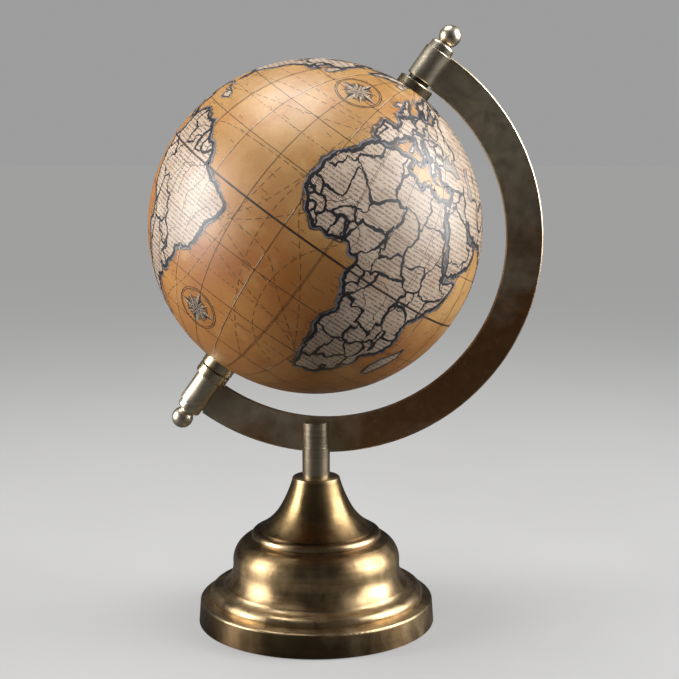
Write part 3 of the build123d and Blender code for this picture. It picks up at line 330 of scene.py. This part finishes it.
def roughened(line, rng, wander, closed, finest=0.9):
    """The line with each run halved and nudged sideways until its pieces are under finest degrees long."""
    if closed:
        line = np.vstack([line, line[:1]])
    for _ in range(6):
        run = np.diff(line, axis=0)
        squeeze = np.cos(np.radians(line[:-1, 1]))
        length = np.hypot(run[:, 0] * squeeze, run[:, 1])
        nudge = wander * rng.normal(size=len(run))[:, None] * np.stack([-run[:, 1], run[:, 0]], axis=1)
        middle = (line[:-1] + line[1:]) / 2 + nudge
        points = [line[0]]
        for index, far in enumerate(length > finest):
            if far:
                points.append(middle[index])
            points.append(line[index + 1])
        line = np.array(points)
    line[:, 1] = np.clip(line[:, 1], -map_edge, map_edge)
    return line[:-1] if closed else line


def rounded(line):
    """The line with its corners cut three times, so that it bends smoothly."""
    for _ in range(3):
        near = 0.75 * line[:-1] + 0.25 * line[1:]
        far = 0.25 * line[:-1] + 0.75 * line[1:]
        line = np.vstack([line[:1], np.stack([near, far], axis=1).reshape(-1, 2), line[-1:]])
    return line


def add_object(name, data):
    """A new object in the scene."""
    thing = bpy.data.objects.new(name, data)
    bpy.context.scene.collection.objects.link(thing)
    return thing


class Sheet:
    """Flat printed shapes of one ink, gathered into one mesh that follows the ball."""

    def __init__(self):
        self.corners = []
        self.faces = []
        self.count = 0

    def add(self, corners, faces):
        self.corners.append(corners)
        self.faces.extend([[index + self.count for index in face] for face in faces])
        self.count += len(corners)

    def strip(self, centre, width, closed=False, shift=0.0):
        """A ribbon along points on the ball, moved to one side by shift. The width may be one per point."""
        ahead = unit(np.roll(centre, -1, axis=0) - centre)
        back = np.roll(ahead, 1, axis=0)
        if not closed:
            ahead[-1] = back[-1]
            back[0] = ahead[0]
        along = unit(ahead + back)
        across = unit(np.cross(along, centre))
        reach = 1 / np.clip(np.sum(ahead * along, axis=1), 0.75, 1)[:, None]
        radius = np.linalg.norm(centre, axis=1, keepdims=True)
        left = unit(centre + (shift - width / 2) * reach * across) * radius
        right = unit(centre + (shift + width / 2) * reach * across) * radius
        size = len(centre)
        faces = []
        for index in range(size if closed else size - 1):
            after = (index + 1) % size
            faces.append([index, size + index, size + after, after])
        self.add(np.vstack([left, right]), faces)

    def patch(self, ring, rise, lattice):
        """A filled patch inside a closed line of longitudes and latitudes."""
        low = ring.min(axis=0)
        high = ring.max(axis=0)
        columns = np.arange(low[0] + lattice / 2, high[0], lattice)
        rows = np.arange(low[1] + lattice / 2, high[1], lattice / map_stretch)
        grid = np.array([(column, row) for column in columns for row in rows]).reshape(-1, 2)
        points = [Vector(point) for point in np.vstack([ring, grid])]
        edges = [(index, (index + 1) % len(ring)) for index in range(len(ring))]
        found, _, faces, _, _, _ = delaunay_2d_cdt(points, edges, [], 1, 1e-5)
        self.add(on_ball(np.array([point[:] for point in found]), rise), faces)

    def finish(self, name, finish, slot):
        """The mesh as one piece that rides on the ball."""
        corners = np.vstack(self.corners) @ np.array(axle_frame.to_3x3()).T
        mesh = bpy.data.meshes.new(name)
        mesh.from_pydata((corners + np.array(ball_centre)).tolist(), [], self.faces)
        mesh.polygons.foreach_set("use_smooth", [True] * len(self.faces))
        mesh.normals_split_custom_set_from_vertices(unit(corners).tolist())
        mesh.materials.append(finish)
        piece = add_object(name, mesh)
        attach(piece, "globe")


def brushed(count, width, spread=0.3):
    """Widths that swell and thin along a line drawn with a brush, one for each point."""
    swell = np.convolve(rng.normal(size=count + 6), np.ones(7) / 7, mode="valid")
    return width * np.clip(1 + 2.6 * spread * swell, 0.5, 1.7)[:, None]


def dashed(sheet, line, rise, width, dash, gap):
    """Dashes of one length along a line on the ball."""
    path = on_ball(line, rise)
    reach = np.concatenate([[0], np.cumsum(np.linalg.norm(np.diff(path, axis=0), axis=1))])
    for start in np.arange(0, reach[-1] - dash, dash + gap):
        steps = np.linspace(start, start + dash, 4)
        piece = np.stack([np.interp(steps, reach, line[:, axis]) for axis in (0, 1)], axis=1)
        sheet.strip(on_ball(piece, rise), width)


def beside(place, offsets, rise):
    """Points near one place, given as metres east and north of it, on the ball."""
    up = on_ball(np.array([place], float), 0.0)[0] / ball_radius
    east = np.cross((0, 0, 1), up)
    east /= np.linalg.norm(east)
    pole = np.cross(up, east)
    offsets = np.array(offsets)
    rows = up + (offsets[:, :1] * east + offsets[:, 1:] * pole) / ball_radius
    return (ball_radius + rise) * unit(rows)


# ---- finishes -------------------------------------------------------------------------------------------


class Finish:
    """A Principled material whose nodes are added by short calls. Places are metres."""

    def __init__(self, name, on_axle=False, **sockets):
        self.material = bpy.data.materials.new(name)
        self.material.use_nodes = True
        self.tree = self.material.node_tree
        self.shader = self.tree.nodes["Principled BSDF"]
        self.place = self.tree.nodes.new("ShaderNodeTexCoord").outputs["Object"]
        if on_axle:
            inputs = {"Vector": self.place, "Location": ball_centre, "Rotation": axle_frame.to_euler()}
            self.place = self.node("Mapping", inputs, vector_type="TEXTURE").outputs["Vector"]
        for socket, value in sockets.items():
            self.give(socket.replace("_", " "), value)

    def give(self, socket, value):
        """Sets or links one socket of the shader."""
        self.feed(self.shader.inputs[socket], value)

    def feed(self, socket, value):
        if isinstance(value, bpy.types.NodeSocket):
            self.tree.links.new(value, socket)
        else:
            socket.default_value = value

    def node(self, kind, inputs, **settings):
        """A node with its inputs set or linked, and its first output."""
        node = self.tree.nodes.new("ShaderNode" + kind)
        for setting, value in settings.items():
            setattr(node, setting, value)
        for socket, value in inputs.items():
            self.feed(node.inputs[socket], value)
        return node

    def math(self, operation, first, second=0.0):
        return self.node("Math", {0: first, 1: second}, operation=operation).outputs[0]

    def stretched(self, factors, place=None):
        inputs = {0: place or self.place, 1: factors}
        return self.node("VectorMath", inputs, operation="MULTIPLY").outputs[0]

    def noise(self, scale, detail=4.0, roughness=0.6, stretch=None, distortion=0.0):
        """Cloudy noise from 0 to 1 with features about 1/scale metres across."""
        place = self.stretched(stretch) if stretch else self.place
        inputs = {"Vector": place, "Scale": scale, "Detail": detail, "Roughness": roughness}
        inputs["Distortion"] = distortion
        return self.node("TexNoise", inputs).outputs["Fac"]

    def span(self, value, low, high, to_low=0.0, to_high=1.0):
        """The value's span from low to high, carried to another span and clamped."""
        inputs = {"Value": value, "From Min": low, "From Max": high, "To Min": to_low, "To Max": to_high}
        return self.node("MapRange", inputs).outputs["Result"]

    def cloud(self, scale, detail, low, high, to_high=1.0, **shape):
        """Noise whose span from low to high runs from 0 to to_high, for patches with clear ground between."""
        return self.span(self.noise(scale, detail, **shape), low, high, 0.0, to_high)

    def blend(self, factor, first, second):
        """Two colours mixed by a factor."""
        node = self.node("Mix", {0: factor}, data_type="RGBA")
        for socket, colour in ((node.inputs[6], first), (node.inputs[7], second)):
            self.feed(socket, colour if isinstance(colour, bpy.types.NodeSocket) else (*colour, 1.0))
        return node.outputs[2]

    def bump(self, height, distance, strength=1.0):
        inputs = {"Height": height, "Distance": distance, "Strength": strength}
        self.give("Normal", self.node("Bump", inputs).outputs["Normal"])

    def brushed_round(self, amount):
        """Stretches highlights across fine grooves that run round the upright axis."""
        self.give("Anisotropic", amount)
        self.give("Anisotropic Rotation", 0.25)
        self.give("Tangent", self.node("Tangent", {}, direction_type="RADIAL", axis="Z").outputs["Tangent"])

    def split(self):
        """The place's three coordinates."""
        return self.node("SeparateXYZ", {0: self.place}).outputs

    def radius(self):
        """The distance from the upright axis."""
        return self.node("VectorMath", {0: self.stretched((1, 1, 0))}, operation="LENGTH").outputs["Value"]


def varnish(finish):
    """A satin varnish over the print, a little uneven."""
    finish.give("Roughness", finish.span(finish.noise(90, 5), 0.3, 0.7, 0.36, 0.52))
    finish.give("Specular IOR Level", 0.4)
    finish.give("Coat Weight", 0.55)
    finish.give("Coat Roughness", 0.44)
    finish.bump(finish.noise(420, 3), 0.02 * MM, 0.5)


def print_marks(finish):
    """Rows of tiny unreadable smudges along the parallels, gathered in blocks, from 0 to 1."""
    pitch = 1.45 * MM
    row = finish.math("SINE", finish.math("MULTIPLY", finish.split()[2], 2 * pi / pitch))
    row = finish.span(row, -0.1, 0.4)
    strokes = finish.cloud(1900, 1.0, 0.42, 0.52)
    blocks = finish.cloud(210, 2.0, 0.34, 0.44, stretch=(1, 1, 1.6))
    return finish.math("MULTIPLY", finish.math("MULTIPLY", row, strokes), blocks)


def sea_paper():
    """Golden paper, mottled with brown stains; deeper orange south of the equator and paler north of it,
    partly its own tone and partly painted light on the top and painted shade below.
    """
    finish = Finish("sea_paper", on_axle=True)
    cloud = finish.cloud(26, 5, 0.38, 0.62)
    # painted light: paler and yellower towards the north, deeper orange towards the south, partly the paper's
    # own tone and partly painted light on the lit top and painted shade below
    north = finish.blend(cloud, (0.34, 0.175, 0.048), (0.48, 0.275, 0.095))
    south = finish.blend(cloud, (0.34, 0.118, 0.019), (0.45, 0.205, 0.052))
    drift = finish.math("MULTIPLY", finish.noise(22, 4), 0.05)
    level = finish.math("ADD", finish.split()[2], drift)
    wash = finish.blend(finish.span(level, 0.004, 0.036), south, north)
    stain = finish.cloud(75, 6, 0.50, 0.72, 0.6, roughness=0.65, distortion=0.6)
    colour = finish.blend(stain, wash, (0.36, 0.125, 0.022))
    pale = finish.cloud(60, 4, 0.57, 0.75, 0.5, stretch=(1, 0.8, 1.3))
    colour = finish.blend(pale, colour, (0.56, 0.34, 0.13))
    grain = finish.cloud(2400, 2, 0.4, 0.8, 0.25)
    finish.give("Base Color", finish.blend(grain, colour, (0.16, 0.06, 0.012)))
    varnish(finish)
    return finish.material


def land_paper():
    """Beige paper with faint tints and rows of fine print."""
    finish = Finish("land_paper", on_axle=True)
    cloud = finish.cloud(60, 3, 0.40, 0.60)
    wash = finish.blend(cloud, (0.40, 0.30, 0.215), (0.50, 0.39, 0.30))
    pink = finish.cloud(110, 3, 0.52, 0.68, 0.55)
    colour = finish.blend(pink, wash, (0.42, 0.27, 0.18))
    green = finish.cloud(85, 5, 0.55, 0.70, 0.5)
    colour = finish.blend(green, colour, (0.46, 0.40, 0.26))
    marks = finish.math("MULTIPLY", print_marks(finish), 0.75)
    colour = finish.blend(marks, colour, (0.07, 0.045, 0.035))
    grain = finish.cloud(2200, 2, 0.45, 0.8, 0.3)
    finish.give("Base Color", finish.blend(grain, colour, (0.24, 0.17, 0.12)))
    varnish(finish)
    return finish.material


def ink(name, dark, light):
    """Printing ink, thin in places."""
    finish = Finish(name, on_axle=True)
    finish.give("Base Color", finish.blend(finish.cloud(380, 4, 0.35, 0.75), dark, light))
    varnish(finish)
    return finish.material


# ---- the printed map ------------------------------------------------------------------------------------

rng = np.random.default_rng(roughness_seed)
coasts = [roughened(line, rng, 0.13, closed=True) for line in as_lines(COASTS)]
lakes = [roughened(line, rng, 0.08, closed=True) for line in as_lines(LAKES)]
borders = [roughened(line, rng, 0.11, closed=False) for line in as_lines(BORDERS)]
rivers = [roughened(line, rng, 0.10, closed=False) for line in as_lines(RIVERS)]


def coast_scale(ring):
    """How wide a coast is drawn: full width on a continent, narrower round an island."""
    breadth = np.ptp(ring, axis=0).min()
    return float(np.clip(breadth / continent_breadth, 0.4, 1.0))


def print_land():
    """The land, its lakes, and the two washes that follow its coasts in the sea."""
    wash, glow, land, water = Sheet(), Sheet(), Sheet(), Sheet()
    for ring in coasts:
        scale = coast_scale(ring)
        outer = brushed(len(ring), 2.7 * MM * scale)
        inner = brushed(len(ring), 2.1 * MM * scale)
        wash.strip(on_ball(ring, RISE["coast_wash"]), outer, closed=True)
        glow.strip(on_ball(ring, RISE["coast_glow"]), inner, closed=True)
        land.patch(ring, RISE["land"], 2.2)
    for ring in lakes:
        water.patch(ring, RISE["lakes"], 2.2)
    wash.finish("coast_wash", ink("wash_ink", (0.045, 0.034, 0.03), (0.10, 0.07, 0.05)), "map_paper")
    glow.finish("coast_glow", ink("glow_ink", (0.11, 0.11, 0.12), (0.20, 0.19, 0.20)), "map_paper")
    land.finish("land", land_paper(), "map_paper")
    water.finish("lakes", ink("lake_ink", (0.20, 0.17, 0.15), (0.30, 0.26, 0.22)), "map_paper")


def print_borders():
    """Thick black coasts and borders."""
    sheet = Sheet()
    for ring in coasts:
        width = brushed(len(ring), 1.15 * MM * coast_scale(ring), 0.2)
        sheet.strip(on_ball(ring, RISE["borders"]), width, closed=True)
    for ring in lakes:
        sheet.strip(on_ball(ring, RISE["borders"]), 0.35 * MM, closed=True)
    for line in borders:
        sheet.strip(on_ball(line, RISE["borders"]), brushed(len(line), 0.8 * MM, 0.4))
    sheet.finish("borders", ink("black_ink", (0.004, 0.004, 0.006), (0.015, 0.015, 0.020)), "map_paper")


def print_sea_marks():
    """Short strokes along the coasts, dashed sea routes and small waves."""
    sheet = Sheet()
    rise = RISE["sea_marks"]
    for ring in coasts:
        for place in ring[::2]:
            half = rng.uniform(1.4, 4.2) * MM
            sheet.strip(beside(place, [(-half, 0), (0, 0), (half, 0)], rise), 0.16 * MM)
    for line in as_lines(SEA_ROUTES):
        dashed(sheet, rounded(line), rise, 0.24 * MM, 2.4 * MM, 1.3 * MM)
    for _ in range(260):
        place = (rng.uniform(-180, 180), np.degrees(np.arcsin(rng.uniform(-0.93, 0.93))))
        length = rng.uniform(1.6, 3.6) * MM
        steps = np.linspace(-0.5, 0.5, 9)
        wave = [(step * length, 0.22 * MM * sin(4 * pi * step)) for step in steps]
        sheet.strip(beside(place, wave, rise), 0.14 * MM)
    sheet.finish("sea_marks", ink("brown_ink", (0.07, 0.035, 0.016), (0.16, 0.08, 0.03)), "map_paper")


def print_graticule():
    """Meridians and parallels every 15 degrees, tropics, polar circles, rivers and the gores' pale edges."""
    sheet = Sheet()
    cream = Sheet()
    rise = RISE["fine_lines"]
    latitudes = np.linspace(-map_edge, map_edge, 100)
    longitudes = np.linspace(-180, 180, 241)[:-1]
    for step in range(24):
        meridian = np.stack([np.full_like(latitudes, 15 * step - 180), latitudes], axis=1)
        line = on_ball(meridian, rise)
        lies_on_seam = step % 2 == 1
        if step % 4 == 0:
            sheet.strip(line, 0.14 * MM, shift=-0.28 * MM)
            sheet.strip(line, 0.14 * MM, shift=0.28 * MM)
        else:
            sheet.strip(line, 0.20 * MM)
        if lies_on_seam:
            for start in range(0, 90, 10):
                length = int(rng.integers(3, 10))
                lifted = on_ball(meridian[start : start + length], RISE["seam_edges"])
                cream.strip(lifted, 0.15 * MM, shift=-0.175 * MM)
    for latitude in range(-60, 75, 15):
        width = 0.7 * MM if latitude == 0 else 0.20 * MM
        line = np.stack([longitudes, np.full_like(longitudes, latitude)], axis=1)
        sheet.strip(on_ball(line, rise), width, closed=True)
    for latitude in (-66.5, -23.4, 23.4, 66.5):
        line = np.stack([longitudes, np.full_like(longitudes, latitude)], axis=1)
        dashed(sheet, line, rise, 0.16 * MM, 1.2 * MM, 0.9 * MM)
    for line in rivers:
        sheet.strip(on_ball(line, rise), 0.2 * MM)
    sheet.finish("fine_lines", ink("fine_ink", (0.022, 0.012, 0.008), (0.06, 0.032, 0.018)), "map_paper")
    cream.finish("seam_edges", ink("paper_edge", (0.62, 0.48, 0.33), (0.78, 0.64, 0.48)), "map_paper")


def spike(sheet, place, angle, length, half_width, rise):
    """One half of a compass point, from the rose's centre to its tip."""
    count = 9
    steps = np.linspace(0, 1, count)
    widest = 0.22
    spread = np.where(steps < widest, steps / widest, (1 - steps) / (1 - widest)) * half_width
    ridge = [(length * step * sin(angle), length * step * cos(angle)) for step in steps]
    flank = [(x + wide * cos(angle), y - wide * sin(angle)) for (x, y), wide in zip(ridge, spread)]
    corners = beside(place, ridge + flank, rise)
    faces = []
    for index in range(count - 1):
        face = [index, index + 1, count + index + 1, count + index]
        faces.append(face if half_width < 0 else face[::-1])
    sheet.add(corners, faces)


def print_roses():
    """Sixteen-point compass roses in a double ring, each point half dark and half pale."""
    dark, pale = Sheet(), Sheet()
    rise = RISE["compass_roses"]
    for place in ROSE_PLACES:
        for order, points, length, half_width in ((0, 16, 5.2, 0.8), (1, 8, 6.6, 1.3), (2, 4, 8.2, 1.9)):
            for index in range(points):
                angle = 2 * pi * index / points
                lift = rise + order * 0.001 * MM
                spike(dark, place, angle, length * MM, half_width * MM, lift)
                spike(pale, place, angle, length * MM, -half_width * MM, lift)
        turns = np.linspace(0, 2 * pi, 61)[:-1]
        for radius, width in ((4.4, 0.22), (5.0, 0.22), (7.9, 0.26), (8.6, 0.26)):
            circle = [(radius * MM * cos(turn), radius * MM * sin(turn)) for turn in turns]
            dark.strip(beside(place, circle, rise), width * MM, closed=True)
    dark.finish("rose_dark", ink("rose_ink", (0.014, 0.012, 0.013), (0.05, 0.035, 0.028)), "map_paper")
    pale.finish("rose_pale", ink("rose_paper", (0.24, 0.19, 0.14), (0.50, 0.38, 0.26)), "map_paper")


print_land()
print_borders()
print_sea_marks()
print_graticule()
print_roses()

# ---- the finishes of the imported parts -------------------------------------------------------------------

foot_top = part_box("neck_cone")[1].z
arm_outer = 83.0 * MM
arm_inner = 69.1 * MM
arm_low, arm_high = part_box("meridian_arm")
arm_centre = (arm_high.x - arm_outer, 0.0, arm_low.z + arm_outer)


def turned_brass(name, pale, deep, smooth=0.22, dull=0.42):
    """Brass turned on a lathe: fine rings, streaks of tarnish, brighter where it is rubbed."""
    finish = Finish(name, Metallic=1.0)
    streaks = finish.cloud(60, 5, 0.42, 0.68, roughness=0.65, stretch=(1, 1, 0.25))
    rings = finish.cloud(900, 2, 0.35, 0.65, 0.4, roughness=0.5, stretch=(0.02, 0.02, 1))
    worn = finish.math("MULTIPLY", streaks, 0.75)
    colour = finish.blend(worn, pale, deep)
    finish.give("Base Color", finish.blend(rings, colour, deep))
    finish.give("Roughness", finish.span(finish.noise(140, 5, stretch=(1, 1, 0.4)), 0.3, 0.7, smooth, dull))
    finish.bump(finish.noise(2600, 2, 0.5, stretch=(0.03, 0.03, 1)), 0.03 * MM, 0.5)
    return finish.material


def foot_brass():
    """Antiqued spun brass, coloured band by band up the foot: painted highlights on its beads and lip,
    painted shade with some tarnish in its grooves and dish, darker towards the plinth's bottom.
    """
    finish = Finish("antique_brass", Metallic=1.0)
    height = finish.math("DIVIDE", finish.split()[2], foot_top)
    ramp = finish.node("ValToRGB", {0: height})
    # colour by height: the bright bands on the beads and the lip are painted highlights, the dark bands in
    # the grooves and the dish are painted shade with some tarnish, and the plinth is darker towards its
    # bottom
    brass_and_painted_light_stops = [
        (0.00, (0.065, 0.043, 0.022)),
        (0.15, (0.13, 0.088, 0.045)),
        (0.165, (0.66, 0.50, 0.29)),
        (0.19, (0.26, 0.175, 0.085)),
        (0.24, (0.70, 0.53, 0.30)),
        (0.27, (0.34, 0.235, 0.12)),
        (0.42, (0.44, 0.315, 0.165)),
        (0.55, (0.34, 0.235, 0.115)),
        (0.575, (0.20, 0.13, 0.065)),
        (0.615, (0.58, 0.43, 0.24)),
        (0.632, (0.15, 0.095, 0.048)),
        (0.67, (0.24, 0.165, 0.075)),
        (0.97, (0.23, 0.16, 0.073)),
        (0.99, (0.44, 0.33, 0.18)),
    ]
    elements = ramp.color_ramp.elements
    elements.remove(elements[1])
    elements[0].position = brass_and_painted_light_stops[0][0]
    elements[0].color = (*brass_and_painted_light_stops[0][1], 1.0)
    for position, colour in brass_and_painted_light_stops[1:]:
        elements.new(position).color = (*colour, 1.0)
    cloud = finish.noise(48, 6, 0.65, stretch=(1, 1, 0.6), distortion=0.3)
    patina = finish.span(cloud, 0.46, 0.70, 0.0, 0.6)
    colour = finish.blend(patina, ramp.outputs["Color"], (0.19, 0.115, 0.055))
    streaks = finish.cloud(520, 4, 0.42, 0.66, 0.5, stretch=(0.07, 0.07, 1))
    colour = finish.blend(streaks, colour, (0.15, 0.095, 0.045))
    specks = finish.cloud(230, 6, 0.54, 0.68, 0.6, roughness=0.7, distortion=0.3)
    colour = finish.blend(specks, colour, (0.13, 0.08, 0.04))
    rubbed = finish.cloud(30, 5, 0.52, 0.70, 0.45)
    colour = finish.blend(rubbed, colour, (0.54, 0.41, 0.24))
    finish.give("Base Color", colour)
    finish.give("Roughness", finish.span(finish.noise(120, 5, stretch=(1, 1, 0.5)), 0.35, 0.65, 0.28, 0.48))
    finish.brushed_round(0.6)
    groove = 0.45 * MM
    lathe = finish.math("ADD", finish.radius(), finish.split()[2])
    rings = finish.math("SINE", finish.math("MULTIPLY", lathe, 2 * pi / groove))
    ripple = finish.math("ADD", finish.noise(500, 3), finish.math("MULTIPLY", rings, 0.12))
    finish.bump(ripple, 0.03 * MM, 0.5)
    return finish.material


def arm_bronze():
    """Olive bronze that turns rusty low on the bow, with a painted highlight along its edges, partly rubbed
    wear.
    """
    finish = Finish("dark_bronze", Metallic=1.0)
    offset = finish.node("VectorMath", {0: finish.place, 1: arm_centre}, operation="SUBTRACT").outputs[0]
    from_centre = finish.node("VectorMath", {0: finish.stretched((1, 0, 1), offset)}, operation="LENGTH")
    radius = from_centre.outputs["Value"]
    across, _, height = finish.split()
    lean = finish.span(finish.math("SUBTRACT", across, height), -0.12, -0.04, -0.06, 0.26)
    blotch = finish.span(finish.math("ADD", finish.noise(24, 5, 0.6, distortion=0.4), lean), 0.46, 0.74)
    colour = finish.blend(blotch, (0.56, 0.48, 0.34), (0.27, 0.135, 0.055))
    spots = finish.cloud(190, 5, 0.56, 0.76, 0.15, roughness=0.65)
    colour = finish.blend(spots, colour, (0.15, 0.10, 0.055))
    scuff = finish.cloud(420, 4, 0.58, 0.78, 0.35)
    colour = finish.blend(scuff, colour, (0.48, 0.40, 0.28))
    # painted highlight: a bright line along the outer and inner edges where they catch the light, partly
    # rubbed wear, broken up by patchy noise
    outer = finish.span(radius, arm_outer - 0.7 * MM, arm_outer - 0.25 * MM)
    inner = finish.span(radius, arm_inner + 0.6 * MM, arm_inner + 0.2 * MM)
    patchy = finish.cloud(90, 4, 0.3, 0.6, 0.7)
    rubbed = finish.math("MULTIPLY", finish.math("MAXIMUM", outer, inner), patchy)
    colour = finish.blend(rubbed, colour, (0.52, 0.45, 0.33))
    finish.give("Base Color", colour)
    finish.give("Roughness", finish.span(finish.noise(260, 5), 0.3, 0.7, 0.36, 0.48))
    finish.bump(finish.noise(900, 4), 0.04 * MM, 0.5)
    return finish.material


def plain(name, dark, light, scale, metallic=0.0, smooth=0.4, dull=0.6, depth=0.03, sheen=0.0):
    """A matt or satin stuff with mottling and a fine grain."""
    finish = Finish(name, Metallic=metallic, Sheen_Weight=sheen)
    finish.give("Base Color", finish.blend(finish.cloud(scale, 5, 0.35, 0.65), dark, light))
    finish.give("Roughness", finish.span(finish.noise(2 * scale, 4), 0.3, 0.7, smooth, dull))
    finish.bump(finish.noise(6 * scale, 3), depth * MM, 0.6)
    return finish.material


finishes = {
    "foot_brass": foot_brass(),
    "stem_brass": turned_brass("stem_brass", (0.42, 0.35, 0.25), (0.15, 0.12, 0.085)),
    "arm_bronze": arm_bronze(),
    "fitting_brass": turned_brass("fitting_brass", (0.64, 0.57, 0.44), (0.32, 0.26, 0.17), 0.28, 0.44),
    "washer_brass": turned_brass("washer_brass", (0.66, 0.55, 0.36), (0.36, 0.27, 0.15), 0.2, 0.34),
    # painted shade: the steel is dark so that the upper spacer reads as the shaded gap under the upper barrel
    "steel": plain("steel", (0.07, 0.065, 0.06), (0.14, 0.13, 0.12), 300, 1.0, 0.35, 0.5, 0.02),
    "iron": plain("iron", (0.05, 0.05, 0.055), (0.12, 0.11, 0.11), 250, 1.0, 0.5, 0.75, 0.15),
    "board": plain("board", (0.20, 0.13, 0.08), (0.30, 0.21, 0.13), 400, 0.0, 0.7, 0.9, 0.05),
    "felt": plain("felt", (0.012, 0.035, 0.018), (0.03, 0.07, 0.035), 700, 0.0, 0.9, 1.0, 0.25, 0.5),
    "ball_plastic": plain("ball_plastic", (0.62, 0.57, 0.48), (0.70, 0.65, 0.56), 80),
    "bushing_plastic": plain("bushing_plastic", (0.72, 0.70, 0.64), (0.80, 0.78, 0.72), 120),
    "map_paper": sea_paper(),
}
for part in frame["nodes"].values():
    slot = part.material_slots[0]
    slot.material = finishes[slot.material.name.split(".")[0]]

# ---- floor, light and camera ----------------------------------------------------------------------------

backdrop_glow = 0.34
camera_reach = Vector((0.03058, -0.52977, 0.03497))   # from the ball's centre
camera_dip = 8.382                                    # degrees that it looks down
camera_turn = 2.314                                   # degrees that it looks to the left
camera_lens = 73.5


def make_floor():
    """A wide pale floor, which throws little light back up at the object."""
    half = 8.0
    mesh = bpy.data.meshes.new("floor")
    corners = [(-half, -half, 0), (half, -half, 0), (half, half, 0), (-half, half, 0)]
    mesh.from_pydata(corners, [], [(0, 1, 2, 3)])
    finish = Finish("pale_floor", Roughness=0.9)
    path = finish.tree.nodes.new("ShaderNodeLightPath").outputs["Is Camera Ray"]
    cloud = finish.cloud(9, 3, 0.4, 0.6)
    mottle = finish.blend(cloud, (0.150, 0.149, 0.147), (0.158, 0.157, 0.155))
    finish.give("Base Color", finish.blend(path, (0.05, 0.05, 0.05), mottle))
    finish.give("Emission Color", (1.0, 0.995, 0.985, 1.0))
    finish.give("Emission Strength", finish.math("MULTIPLY", path, backdrop_glow))
    mesh.materials.append(finish.material)
    add_object("floor", mesh)


def softbox(name, place, width, height, watts, mirrored=True):
    """A rectangular light that faces the object, with a grid that keeps its light off the floor beside it.

    A light that isn't mirrored gives no highlight.
    """
    light = bpy.data.lights.new(name, "AREA")
    light.shape = "RECTANGLE"
    light.size = width
    light.size_y = height
    light.energy = watts
    light.spread = radians(100)
    lamp = add_object(name, light)
    lamp.location = place
    lamp.rotation_euler = (ball_centre - Vector(place)).to_track_quat("-Z", "Y").to_euler()
    lamp.visible_glossy = mirrored


def make_world():
    """Pale surroundings to the eye, dim in the light they give."""
    world = bpy.data.worlds.new("studio")
    world.use_nodes = True
    bpy.context.scene.world = world
    nodes, links = world.node_tree.nodes, world.node_tree.links
    seen = nodes.new("ShaderNodeBackground")
    seen.inputs["Color"].default_value = (backdrop_glow, backdrop_glow, backdrop_glow, 1.0)
    dim = nodes["Background"]
    dim.inputs["Color"].default_value = (0.045, 0.045, 0.05, 1.0)
    path = nodes.new("ShaderNodeLightPath")
    choice = nodes.new("ShaderNodeMixShader")
    links.new(path.outputs["Is Camera Ray"], choice.inputs[0])
    links.new(dim.outputs[0], choice.inputs[1])
    links.new(seen.outputs[0], choice.inputs[2])
    links.new(choice.outputs[0], nodes["World Output"].inputs["Surface"])


def make_camera():
    """The camera, a little above the ball's middle and looking slightly down."""
    data = bpy.data.cameras.new("camera")
    data.sensor_width = 36.0
    data.lens = camera_lens
    camera = add_object("camera", data)
    camera.location = ball_centre + camera_reach
    camera.rotation_euler = (radians(90 - camera_dip), 0.0, radians(camera_turn))
    bpy.context.scene.camera = camera


bpy.context.scene.view_settings.view_transform = "Standard"
make_floor()
make_world()
softbox("left_box", (-0.80, -0.16, 0.31), 0.40, 0.58, 3.6)
softbox("right_box", (0.80, 0.00, 0.44), 0.70, 0.84, 6.4)
softbox("top_box", (-0.15, 0.05, 0.95), 0.5, 0.5, 2.2)
softbox("front_fill", (-0.35, -0.95, 0.75), 0.7, 0.7, 0.9, mirrored=False)
make_camera()
